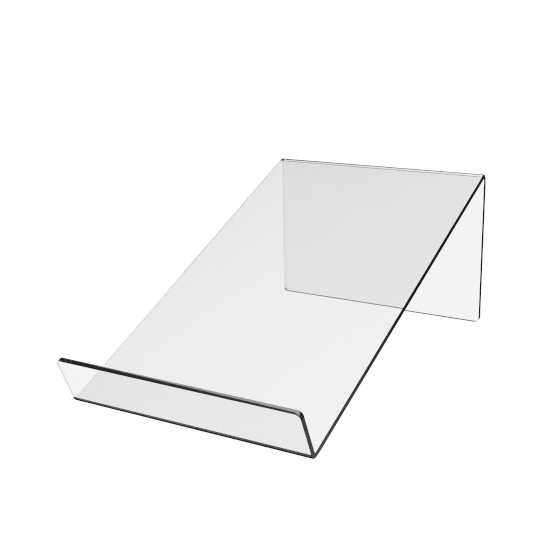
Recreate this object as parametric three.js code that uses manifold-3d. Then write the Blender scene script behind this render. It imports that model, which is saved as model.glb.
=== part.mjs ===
// A clear acrylic display stand, made from one flat sheet bent along two straight lines.
//
// The sheet runs from a short lip at the front, through a sharp bend on the table, up a long
// sloped panel, over a second bend at the top and straight down a rear leg to the table.
//
// Millimetres. +X runs across the sheet, +Y towards the rear leg, +Z up. The origin is on the
// table, under the middle of the stand's bounding box.

import * as THREE from "three";
import { mergeVertices } from "three/addons/utils/BufferGeometryUtils.js";
import Module from "manifold-3d";

// Driving dimensions
const WIDTH = 150; // of the sheet
const DEPTH = 230; // from the line where the front bend touches the table to the leg's rear face
const HEIGHT = 100; // from the table to the top of the upper bend
const SHEET = 3; // thickness
const LIP = 32; // along the lip's front face, from the bend's sharp outer corner to the tip
const BEND_RADIUS = 1; // inside radius of both bends
const CORNER_RADIUS = 3; // of the sheet's four free corners

// Facets
const BEND_SEGMENTS = 6; // half the number of facets in each arc of a bend
const CORNER_SEGMENTS = 4; // half the number of facets in a rounded corner
const WELD = 1e-4; // vertices closer than this are one

// The side profile's fixed points and directions, in (Y, Z) with Y = 0 where the front bend
// touches the table. The panel's lower face is tangent to the front bend's outer circle and to
// the upper bend's inner circle, and the lip stands square to the panel.
const outerRadius = BEND_RADIUS + SHEET;
const frontCentre = new THREE.Vector2(0, outerRadius);
const upperCentre = new THREE.Vector2(DEPTH - outerRadius, HEIGHT - outerRadius);
const centres = upperCentre.clone().sub(frontCentre);
const slope = centres.angle() + Math.asin((outerRadius + BEND_RADIUS) / centres.length());
const upPanel = new THREE.Vector2(Math.cos(slope), Math.sin(slope));
const upLip = new THREE.Vector2(-Math.sin(slope), Math.cos(slope));
const sharpCorner = frontCentre
  .clone()
  .addScaledVector(upPanel, -outerRadius)
  .addScaledVector(upLip, -outerRadius);
const lipTipFront = sharpCorner.clone().addScaledVector(upLip, LIP);
const lipTipBack = lipTipFront.clone().addScaledVector(upPanel, SHEET);
const middleY = (lipTipFront.x + DEPTH) / 2;

// The closed outline of the bent sheet seen from its side: from the foot up the leg's rear
// face, over and down the panel, round the lip and back along the underside. Each outer arc
// is drawn in two parts, so that a facet's edge lies exactly at its highest or lowest point.
function sideProfile() {
  const quarter = Math.PI / 2;
  const abovePanel = slope + quarter;
  const belowPanel = slope - quarter;
  const beforeLip = slope - Math.PI;
  const profile = new THREE.Shape();
  const upperArc = (radius, from, to, clockwise) =>
    profile.absarc(upperCentre.x, upperCentre.y, radius, from, to, clockwise);
  const frontArc = (radius, from, to, clockwise) =>
    profile.absarc(frontCentre.x, frontCentre.y, radius, from, to, clockwise);
  profile.moveTo(DEPTH - SHEET, 0);
  profile.lineTo(DEPTH, 0);
  upperArc(outerRadius, 0, quarter, false);
  upperArc(outerRadius, quarter, abovePanel, false);
  frontArc(BEND_RADIUS, belowPanel, beforeLip, true);
  profile.lineTo(lipTipBack.x, lipTipBack.y);
  profile.lineTo(lipTipFront.x, lipTipFront.y);
  frontArc(outerRadius, beforeLip, -quarter, false);
  frontArc(outerRadius, -quarter, belowPanel, false);
  upperArc(BEND_RADIUS, abovePanel, 0, true);
  profile.closePath();
  return profile;
}

// The profile extruded across the full width, with square free corners.
function squareCorneredSheet() {
  const geometry = new THREE.ExtrudeGeometry(sideProfile(), {
    depth: WIDTH,
    bevelEnabled: false,
    curveSegments: BEND_SEGMENTS,
  });
  const place = new THREE.Matrix4().makeBasis(
    new THREE.Vector3(0, 1, 0),
    new THREE.Vector3(0, 0, 1),
    new THREE.Vector3(1, 0, 0),
  );
  place.setPosition(-WIDTH / 2, -middleY, 0);
  return geometry.applyMatrix4(place);
}

// What rounding takes off one square corner: the corner is at `corner`, halfway through the
// sheet's thickness, and `inward` runs into the sheet along its side edge.
function cornerOffcut(corner, inward) {
  const waste = new THREE.Shape();
  waste.moveTo(-SHEET, -SHEET);
  waste.lineTo(CORNER_RADIUS, -SHEET);
  waste.lineTo(CORNER_RADIUS, 0);
  waste.absarc(CORNER_RADIUS, CORNER_RADIUS, CORNER_RADIUS, -Math.PI / 2, -Math.PI, true);
  waste.lineTo(-SHEET, CORNER_RADIUS);
  waste.closePath();
  const geometry = new THREE.ExtrudeGeometry(waste, {
    depth: 2 * SHEET,
    bevelEnabled: false,
    curveSegments: CORNER_SEGMENTS,
  });
  geometry.translate(0, 0, -SHEET);
  const across = new THREE.Vector3(-Math.sign(corner.x), 0, 0);
  const through = new THREE.Vector3().crossVectors(across, inward);
  const place = new THREE.Matrix4().makeBasis(across, inward, through);
  return geometry.applyMatrix4(place.setPosition(corner));
}

// The four free corners: two at the lip's tip and two at the leg's foot.
function cornerOffcuts() {
  const lipMiddle = lipTipFront.clone().lerp(lipTipBack, 0.5);
  const downLip = new THREE.Vector3(0, -upLip.x, -upLip.y);
  const upLeg = new THREE.Vector3(0, 0, 1);
  return [-WIDTH / 2, WIDTH / 2].flatMap((x) => [
    cornerOffcut(new THREE.Vector3(x, lipMiddle.x - middleY, lipMiddle.y), downLip),
    cornerOffcut(new THREE.Vector3(x, DEPTH - SHEET / 2 - middleY, 0), upLeg),
  ]);
}

// A closed geometry as a manifold-3d solid.
function solidOf(geometry, wasm) {
  const bare = geometry.clone();
  bare.deleteAttribute("normal");
  bare.deleteAttribute("uv");
  const welded = mergeVertices(bare, WELD);
  const mesh = new wasm.Mesh({
    numProp: 3,
    vertProperties: welded.attributes.position.array,
    triVerts: new Uint32Array(welded.index.array),
  });
  return new wasm.Manifold(mesh);
}

// A manifold-3d solid as a flat-shaded geometry.
function geometryOf(solid) {
  const mesh = solid.getMesh();
  const geometry = new THREE.BufferGeometry();
  geometry.setAttribute("position", new THREE.BufferAttribute(mesh.vertProperties, 3));
  geometry.setIndex(new THREE.BufferAttribute(mesh.triVerts, 1));
  const faceted = geometry.toNonIndexed();
  faceted.computeVertexNormals();
  return faceted;
}

function clearAcrylic() {
  return new THREE.MeshStandardMaterial({
    color: 0xeef0f0,
    roughness: 0.04,
    metalness: 0,
    transparent: true,
    opacity: 0.3,
  });
}

function bentAcrylicSheet(wasm) {
  const rounded = cornerOffcuts().reduce(
    (sheet, offcut) => sheet.subtract(solidOf(offcut, wasm)),
    solidOf(squareCorneredSheet(), wasm),
  );
  const mesh = new THREE.Mesh(geometryOf(rounded), clearAcrylic());
  mesh.name = "bent_acrylic_sheet";
  return mesh;
}

const wasm = await Module();
wasm.setup();

const stand = new THREE.Group();
stand.add(bentAcrylicSheet(wasm));

export default stand;
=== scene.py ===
"""A clear acrylic display stand: one sheet, bent along two lines, on a white studio sweep.

Everything is in metres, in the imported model's frame: +X across the sheet, +Y from the lip
towards the rear leg, +Z up, with the origin on the table under the middle of the stand.
"""

import math
from collections import namedtuple

import bpy
from mathutils import Matrix, Vector


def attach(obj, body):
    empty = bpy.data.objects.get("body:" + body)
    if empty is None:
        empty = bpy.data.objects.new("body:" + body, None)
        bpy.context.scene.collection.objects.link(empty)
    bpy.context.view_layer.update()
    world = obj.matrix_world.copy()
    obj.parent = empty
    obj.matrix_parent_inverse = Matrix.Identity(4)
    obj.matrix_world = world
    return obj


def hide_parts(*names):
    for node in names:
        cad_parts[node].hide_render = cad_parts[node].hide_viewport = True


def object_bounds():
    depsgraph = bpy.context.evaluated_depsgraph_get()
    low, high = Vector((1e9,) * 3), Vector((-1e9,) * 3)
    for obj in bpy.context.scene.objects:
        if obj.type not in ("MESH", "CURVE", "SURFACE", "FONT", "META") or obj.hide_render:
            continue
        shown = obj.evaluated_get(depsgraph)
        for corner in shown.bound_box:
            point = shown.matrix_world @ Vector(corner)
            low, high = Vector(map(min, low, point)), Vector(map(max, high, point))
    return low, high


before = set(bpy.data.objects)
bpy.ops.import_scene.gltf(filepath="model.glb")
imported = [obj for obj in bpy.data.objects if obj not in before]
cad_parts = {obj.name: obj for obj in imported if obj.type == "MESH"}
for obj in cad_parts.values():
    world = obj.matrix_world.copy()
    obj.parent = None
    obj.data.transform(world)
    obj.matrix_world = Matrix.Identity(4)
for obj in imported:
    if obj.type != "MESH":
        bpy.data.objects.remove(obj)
cad_low, cad_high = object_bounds()

MM = 0.001

# The sheet, as the CAD model has it
SHEET = 3 * MM
LIP = 32 * MM  # along the lip's front face, from the bend's sharp outer corner to the tip
DEPTH = 230 * MM  # from the front bend's line on the table to the leg's rear face
BEND_RADIUS = 1 * MM  # inside radius of both bends
CORNER_RADIUS = 3 * MM  # of the sheet's four free corners

# What polishing and bending leave on it
EDGE_RADIUS = 0.1 * MM  # the flame-polished rounding of every cut edge
BEND_PULL = 0.25 * MM  # how far the stretched outside of a bend draws in at its two ends
HEATED = 7 * MM  # how far the softened zone reaches each way from the middle of a bend

# The fine surface
EDGE_STEPS = 4
CORNER_STEPS = 12
BEND_STEPS = 32
COLUMNS = 16  # across the width
ROW = 3 * MM  # longest step along the straight stretches

# The finish
ACRYLIC_IOR = 1.49
TINT = 0.9
TINT_DENSITY = 295  # the plastic absorbs 1 - TINT of this, or 29.5, per metre
STRIA = 0.35 * MM  # spacing of the cutter's marks across the cut edges
STRIA_DEPTH = 0.015 * MM
STRIA_DETAIL = 3.0  # octaves of finer marks among them
RIPPLE = 9 * MM  # spacing of the ripples in the heated zones
RIPPLE_DEPTH = 0.02 * MM
WAVE = 45 * MM  # spacing of the slow waves in the cast sheet's faces
WAVE_DEPTH = 0.01 * MM
SMEAR = 25 * MM  # size of the faint wiped patches in the gloss
SMEAR_DETAIL = 4.0
SMEAR_EDGE = (0.4, 0.7)  # the noise's values at a smear's rim and in its middle
STRIA_EDGE = (0.3, 0.7)  # the noise's values beside a mark and in it
FACE_ROUGHNESS = (0.01, 0.035)  # outside the smears and in them
EDGE_ROUGHNESS = (0.015, 0.05)  # beside the marks and in them

# How bright the studio is where the sheet reflects it
WHITE = 1.0  # of the pale horizon, the soft box and the backdrop
BELT = 0.15  # of the dark belt between the horizon and the soft box
FLOOR_NEAR = 1.1  # of the floor close in front of the stand
FLOOR_SHADED = 0.58  # of the floor that the panel shades
FLOOR_FAR = 0.95  # of the floor far in front of the stand
FLOOR_PATCH = 0.55  # of the paler patch on the right
FLOOR_DARK = 0.06  # of the rest of the floor, beside and behind the stand
FRONT_FADE = 0.03  # what the floor in front fades towards, until FLOOR_DARK takes over

# Where that brightness changes, each from one value to another. A direction in the studio is a
# unit vector, and the values are its height, how far it points back, or how far to the right.
HORIZON_FADE = (0.03, 0.22)  # height, from the pale horizon up to the belt
SOFT_BOX_RIM = (0.7, 0.95)  # height, from the belt up to the soft box
GROUND = (-0.03, -0.1)  # height, from the horizon down to the floor
FAR_RIM = (-0.18, -0.24)  # height, from the far floor down to the shaded floor
NEAR_RIM = (-0.3, -0.8)  # height, from the shaded floor down to the near floor
PATCH_RIM = (-0.3, -0.45)  # height, from the dark floor down to the paler patch
FRONT_RIM = (-0.15, 0.0)  # back, from the floor in front to what it fades towards
PATCH_SIDE = (0.1, 0.3)  # right, from the dark floor to the side that holds the patch

# The white sweep
FLOOR_HALF = 6  # metres from its middle to its sides
FLOOR_GAP = 0.02 * MM  # under the stand, so that the two never lie in one plane

# The camera
CAMERA_AZIMUTH = math.radians(30.91)
CAMERA_ELEVATION = math.radians(16.41)
CAMERA_ROLL = math.radians(-1.06)
CAMERA_DISTANCE = 580.1 * MM
CAMERA_LENS = 63.59  # millimetres
CAMERA_AIM = Vector((-2.8, -7.8, 2.5)) * MM  # from the middle of the stand's box
CAMERA_RANGE = (10 * MM, 50)  # the nearest and the farthest that it sees, in metres
BOUNCES = 32  # of light, enough for what is trapped in the sheet

QUARTER = math.pi / 2

# One step along the sheet, from the lip's tip to the leg's foot. Points and directions are
# (Y, Z). middle is halfway through the sheet, along points on towards the foot and normal to
# the face that is uppermost on the panel. In a rounded corner, end points out past the
# sheet's free end, middle is on that end's line, and angle runs from 0 on the end to a right
# angle on the side; elsewhere end is None. run is the distance along the cut edge.
Station = namedtuple("Station", "middle along normal end angle run")

# A bend's middle, as a distance along the cut edge, and the face on its outside: 1 for the
# face that normal points to and -1 for the other.
Bend = namedtuple("Bend", "run outside")


def profile():
    """The side profile's slope, the centres of its bends, and its two main directions."""
    outer = BEND_RADIUS + SHEET
    front = Vector((cad_high.y - DEPTH, outer))
    upper = Vector((cad_high.y - outer, cad_high.z - outer))
    between = upper - front
    slope = math.atan2(between.y, between.x) + math.asin((outer + BEND_RADIUS) / between.length)
    up_panel = Vector((math.cos(slope), math.sin(slope)))
    up_lip = Vector((-math.sin(slope), math.cos(slope)))
    return slope, front, upper, up_panel, up_lip


def stations():
    """Every step along the sheet, and the two bends."""
    slope, front, upper, up_panel, up_lip = profile()
    half = SHEET / 2
    bend = BEND_RADIUS + half
    tip = front + up_lip * (LIP - BEND_RADIUS - SHEET) - up_panel * bend
    foot = Vector((cad_high.y - half, 0))
    down = Vector((0, -1))
    back = Vector((1, 0))
    path = []
    bends = []

    def add(middle, along, normal, end=None, angle=QUARTER, step=0.0):
        run = path[-1].run + step if path else 0.0
        path.append(Station(middle, along, normal, end, angle, run))

    def corner(end_middle, along, normal, end, turns):
        for turn in turns:
            step = CORNER_RADIUS * abs(turn - path[-1].angle) if path else 0.0
            add(end_middle, along, normal, end, turn, step)

    def straight(start, stop, normal):
        length = (stop - start).length
        along = (stop - start).normalized()
        steps = math.ceil(length / ROW)
        for i in range(1, steps + 1):
            add(start.lerp(stop, i / steps), along, normal, step=length / steps)

    def arc(centre, outside, first, last):
        step = bend * abs(last - first) / BEND_STEPS
        for i in range(1, BEND_STEPS + 1):
            turn = first + (last - first) * i / BEND_STEPS
            normal = Vector((math.cos(turn), math.sin(turn)))
            along = Vector((normal.y, -normal.x))
            add(centre + normal * bend * outside, along, normal, step=step)
            if 2 * i == BEND_STEPS:
                bends.append(Bend(path[-1].run, outside))

    quarter_turn = [QUARTER * i / CORNER_STEPS for i in range(CORNER_STEPS + 1)]
    corner(tip, -up_lip, up_panel, up_lip, quarter_turn)
    straight(tip - up_lip * CORNER_RADIUS, front - up_panel * bend, up_panel)
    arc(front, -1, slope, slope + QUARTER)
    straight(front - up_lip * bend, upper + up_lip * bend, up_lip)
    arc(upper, 1, slope + QUARTER, 0)
    straight(upper + back * bend, foot - down * CORNER_RADIUS, back)
    corner(foot, down, back, down, quarter_turn[::-1][1:])
    return path, bends


def heat(station, bend):
    """How soft the sheet was here when it was bent, from 0 to 1, and how fast that changes."""
    away = station.run - bend.run
    if abs(away) >= HEATED:
        return 0.0, 0.0
    turn = math.pi * away / HEATED
    return (1 + math.cos(turn)) / 2, -math.sin(turn) * math.pi / (2 * HEATED)


def rings():
    """(inset, height, roll) of each line round the cut edge, from the top face to the under face.

    inset is how far it lies inside the square edge, height is measured from the middle of
    the sheet, and roll is the surface's turn from the cut edge towards the face.
    """
    flat = SHEET / 2 - EDGE_RADIUS
    turns = [QUARTER * (1 - i / EDGE_STEPS) for i in range(EDGE_STEPS + 1)]
    upper = [
        (EDGE_RADIUS * (1 - math.cos(t)), flat + EDGE_RADIUS * math.sin(t), t) for t in turns
    ]
    return upper + [(inset, -height, -roll) for inset, height, roll in reversed(upper)]


def on_sheet(station, bends, ring, side):
    """The point and normal where a station meets a ring, on the side -1 or +1 of the sheet."""
    inset, height, roll = ring
    reach = CORNER_RADIUS - inset
    x = cad_high.x - CORNER_RADIUS + reach * math.sin(station.angle)
    at = station.middle + station.normal * height
    out = Vector((side * math.sin(station.angle), 0, 0))
    if station.end is not None:
        at = at - station.end * (CORNER_RADIUS - reach * math.cos(station.angle))
        out += Vector((0, *station.end)) * math.cos(station.angle)
    for bend in bends:
        softness, change = heat(station, bend)
        outward = 0.5 + bend.outside * height / SHEET
        x -= BEND_PULL * softness * outward
        lean = station.along * change * outward + station.normal * softness * bend.outside / SHEET
        out += Vector((0, *lean)) * BEND_PULL
    normal = out.normalized() * math.cos(roll) + Vector((0, *station.normal)) * math.sin(roll)
    return Vector((side * x, *at)), normal.normalized()


class SheetMesh:
    """The whole sheet as one closed mesh of quads, with a normal and three marks at each point.

    The marks are cut_edge, 1 on the cut edges and 0 on the faces; run, the distance along the
    cut edge; and heated, how soft the sheet was there when it was bent.
    """

    def __init__(self):
        self.path, self.bends = stations()
        self.edge = rings()
        self.points, self.normals, self.faces = [], [], []
        self.marks = {"cut_edge": [], "run": [], "heated": []}
        self.known = {}
        self.add_faces()
        self.add_side_edges()
        self.add_end_edges()

    def vertex(self, i, k, column):
        """Column 0 is the left side and COLUMNS the right; those between are on a face or an end."""
        key = (i, k, column)
        if key not in self.known:
            self.known[key] = len(self.points)
            station = self.path[i]
            left, left_normal = on_sheet(station, self.bends, self.edge[k], -1)
            right, right_normal = on_sheet(station, self.bends, self.edge[k], 1)
            point = left.lerp(right, column / COLUMNS)
            normal = left_normal if column == 0 else right_normal
            if 0 < column < COLUMNS:
                normal = Vector((0, *right_normal.yz)).normalized()
            self.points.append(point)
            self.normals.append(normal)
            on_face = k in (0, len(self.edge) - 1)
            past_corner = right.x - abs(point.x)
            self.marks["cut_edge"].append(0.0 if on_face else 1.0)
            self.marks["run"].append(station.run + (past_corner if i else -past_corner))
            self.marks["heated"].append(sum(heat(station, bend)[0] for bend in self.bends))
        return self.known[key]

    def quad(self, corners, turned):
        face = [self.vertex(*corner) for corner in corners]
        self.faces.append(face[::-1] if turned else face)

    def add_faces(self):
        for i in range(len(self.path) - 1):
            for c in range(COLUMNS):
                for k, turned in ((0, False), (len(self.edge) - 1, True)):
                    corners = [(i, k, c), (i, k, c + 1), (i + 1, k, c + 1), (i + 1, k, c)]
                    self.quad(corners, turned)

    def add_side_edges(self):
        for i in range(len(self.path) - 1):
            for k in range(len(self.edge) - 1):
                for c, turned in ((0, False), (COLUMNS, True)):
                    corners = [(i, k, c), (i + 1, k, c), (i + 1, k + 1, c), (i, k + 1, c)]
                    self.quad(corners, turned)

    def add_end_edges(self):
        for i, turned in ((0, False), (len(self.path) - 1, True)):
            for k in range(len(self.edge) - 1):
                for c in range(COLUMNS):
                    corners = [(i, k, c), (i, k + 1, c), (i, k + 1, c + 1), (i, k, c + 1)]
                    self.quad(corners, turned)

    def build(self, name):
        mesh = bpy.data.meshes.new(name)
        mesh.from_pydata(self.points, [], self.faces)
        mesh.polygons.foreach_set("use_smooth", [True] * len(self.faces))
        mesh.normals_split_custom_set_from_vertices(self.normals)
        for mark, values in self.marks.items():
            mesh.attributes.new(mark, "FLOAT", "POINT").data.foreach_set("value", values)
        mesh.validate()
        return mesh


class Nodes:
    """Short ways to add and join shader nodes."""

    def __init__(self, tree):
        self.tree = tree

    def add(self, kind, **settings):
        node = self.tree.nodes.new(kind)
        for name, value in settings.items():
            setattr(node, name, value)
        return node

    def join(self, value, socket):
        if isinstance(value, bpy.types.NodeSocket):
            self.tree.links.new(value, socket)
        else:
            socket.default_value = value

    def ramp(self, value, first, last, low, high):
        """A number that goes from low to high while value goes from first to last."""
        node = self.add("ShaderNodeMapRange")
        for socket, given in zip(node.inputs, (value, first, last, low, high)):
            self.join(given, socket)
        return node.outputs[0]

    def math(self, operation, *values):
        node = self.add("ShaderNodeMath", operation=operation)
        for socket, value in zip(node.inputs, values):
            self.join(value, socket)
        return node.outputs[0]

    def mark(self, name):
        return self.add("ShaderNodeAttribute", attribute_name=name).outputs["Fac"]

    def place(self):
        return self.add("ShaderNodeTexCoord").outputs["Object"]

    def noise(self, spacing, place=None, along=None, detail=1.0):
        """Smooth noise with this spacing, in space or along one number."""
        node = self.add("ShaderNodeTexNoise", noise_dimensions="1D" if along else "3D")
        if along:
            self.join(along, node.inputs["W"])
        else:
            self.join(place, node.inputs["Vector"])
        node.inputs["Scale"].default_value = 1 / spacing
        node.inputs["Detail"].default_value = detail
        return node.outputs[0]

    def bump(self, height, depth, under=None):
        node = self.add("ShaderNodeBump")
        node.inputs["Distance"].default_value = depth
        self.join(height, node.inputs["Height"])
        if under:
            self.join(under, node.inputs["Normal"])
        return node.outputs[0]


def clear_acrylic():
    """Clear cast acrylic: glossy faces, faint ripples where it was heated, finely marked edges."""
    material = bpy.data.materials.new("clear_acrylic")
    material.use_nodes = True
    nodes = Nodes(material.node_tree)
    shader = material.node_tree.nodes["Principled BSDF"]
    shader.inputs["Base Color"].default_value = (1, 1, 1, 1)
    shader.inputs["IOR"].default_value = ACRYLIC_IOR
    shader.inputs["Transmission Weight"].default_value = 1

    place = nodes.place()
    cut, run, heated = (nodes.mark(name) for name in ("cut_edge", "run", "heated"))
    striae = nodes.noise(STRIA, along=run, detail=STRIA_DETAIL)
    waves = nodes.noise(WAVE, place=place)
    ripples = nodes.math("MULTIPLY", nodes.noise(RIPPLE, place=place), heated)
    normal = nodes.bump(waves, WAVE_DEPTH)
    normal = nodes.bump(ripples, RIPPLE_DEPTH, normal)
    normal = nodes.bump(nodes.math("MULTIPLY", striae, cut), STRIA_DEPTH, normal)
    nodes.join(normal, shader.inputs["Normal"])

    smears = nodes.noise(SMEAR, place=place, detail=SMEAR_DETAIL)
    on_face = nodes.ramp(smears, *SMEAR_EDGE, *FACE_ROUGHNESS)
    on_edge = nodes.ramp(striae, *STRIA_EDGE, *EDGE_ROUGHNESS)
    nodes.join(nodes.ramp(cut, 0, 1, on_face, on_edge), shader.inputs["Roughness"])

    volume = nodes.add("ShaderNodeVolumeAbsorption")
    volume.inputs["Color"].default_value = (TINT, TINT, TINT, 1)
    volume.inputs["Density"].default_value = TINT_DENSITY
    out = material.node_tree.nodes["Material Output"]
    nodes.join(volume.outputs["Volume"], out.inputs["Volume"])
    return material


def stand():
    """The bent sheet, as the one visible piece in place of the CAD model's one node."""
    piece = bpy.data.objects.new("clear_bent_sheet", SheetMesh().build("clear_bent_sheet"))
    bpy.context.scene.collection.objects.link(piece)
    piece.data.materials.append(clear_acrylic())
    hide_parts("bent_acrylic_sheet")
    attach(piece, "root")


def sweep():
    """The white surface under the stand, seen directly and through the sheet but not mirrored."""
    half = FLOOR_HALF
    mesh = bpy.data.meshes.new("studio_floor")
    corners = [(-half, -half, 0), (half, -half, 0), (half, half, 0), (-half, half, 0)]
    mesh.from_pydata(corners, [], [(0, 1, 2, 3)])
    floor = bpy.data.objects.new("studio_floor", mesh)
    floor.location.z = -FLOOR_GAP
    floor.visible_glossy = False
    bpy.context.scene.collection.objects.link(floor)
    material = bpy.data.materials.new("white_sweep")
    material.use_nodes = True
    material.node_tree.nodes.clear()
    nodes = Nodes(material.node_tree)
    glow = nodes.add("ShaderNodeEmission")
    nodes.join(glow.outputs[0], nodes.add("ShaderNodeOutputMaterial").inputs["Surface"])
    material.cycles.emission_sampling = "NONE"
    mesh.materials.append(material)


def studio_light():
    """A soft box overhead, a darker belt round the room, a pale horizon and a floor.

    The camera sees a plain white backdrop instead. In front of the stand the floor is pale,
    less so where the panel shades it. Elsewhere it is dark, which keeps the cut edges dark,
    but for a paler patch close by on the right.
    """
    world = bpy.data.worlds.new("soft_studio")
    bpy.context.scene.world = world
    world.use_nodes = True
    nodes = Nodes(world.node_tree)
    split = nodes.add("ShaderNodeSeparateXYZ")
    nodes.join(nodes.add("ShaderNodeTexCoord").outputs["Generated"], split.inputs[0])
    right, back, height = split.outputs

    horizon = nodes.ramp(height, *HORIZON_FADE, WHITE, BELT)
    soft_box = nodes.ramp(height, *SOFT_BOX_RIM, BELT, WHITE)
    above = nodes.math("MAXIMUM", horizon, soft_box)

    near = nodes.ramp(height, *NEAR_RIM, FLOOR_SHADED, FLOOR_NEAR)
    far = nodes.ramp(height, *FAR_RIM, FLOOR_FAR, FLOOR_SHADED)
    front = nodes.math("MAXIMUM", near, far)
    front = nodes.ramp(back, *FRONT_RIM, front, FRONT_FADE)
    patch = nodes.ramp(height, *PATCH_RIM, FLOOR_DARK, FLOOR_PATCH)
    rest = nodes.ramp(right, *PATCH_SIDE, FLOOR_DARK, patch)
    below = nodes.math("MAXIMUM", front, rest)

    light = nodes.ramp(height, *GROUND, above, below)
    backdrop = nodes.add("ShaderNodeLightPath").outputs["Is Camera Ray"]
    light = nodes.ramp(backdrop, 0, 1, light, WHITE)
    background = world.node_tree.nodes["Background"]
    background.inputs["Color"].default_value = (1, 1, 1, 1)
    nodes.join(light, background.inputs["Strength"])


def camera():
    """A camera at the photograph's viewing angle, turned about its own axis by the roll."""
    azimuth, elevation, roll = CAMERA_AZIMUTH, CAMERA_ELEVATION, CAMERA_ROLL
    back = Vector((
        math.sin(azimuth) * math.cos(elevation),
        -math.cos(azimuth) * math.cos(elevation),
        math.sin(elevation),
    ))
    right = Vector((math.cos(azimuth), math.sin(azimuth), 0))
    up = back.cross(right)
    rolled_right = right * math.cos(roll) + up * math.sin(roll)
    rolled_up = up * math.cos(roll) - right * math.sin(roll)
    turn = Matrix((rolled_right, rolled_up, back)).transposed()
    data = bpy.data.cameras.new("camera")
    data.lens = CAMERA_LENS
    data.clip_start, data.clip_end = CAMERA_RANGE
    made = bpy.data.objects.new("camera", data)
    place = (cad_low + cad_high) / 2 + CAMERA_AIM + back * CAMERA_DISTANCE
    made.matrix_world = Matrix.Translation(place) @ turn.to_4x4()
    bpy.context.scene.collection.objects.link(made)
    bpy.context.scene.camera = made


def picture():
    """Plain colours, light followed through the sheet, and fine lines crisp but unbroken."""
    scene = bpy.context.scene
    scene.view_settings.view_transform = "Standard"
    scene.cycles.max_bounces = BOUNCES
    scene.cycles.transmission_bounces = BOUNCES
    scene.cycles.glossy_bounces = BOUNCES
    scene.cycles.pixel_filter_type = "BOX"


camera()
stand()
sweep()
studio_light()
picture()
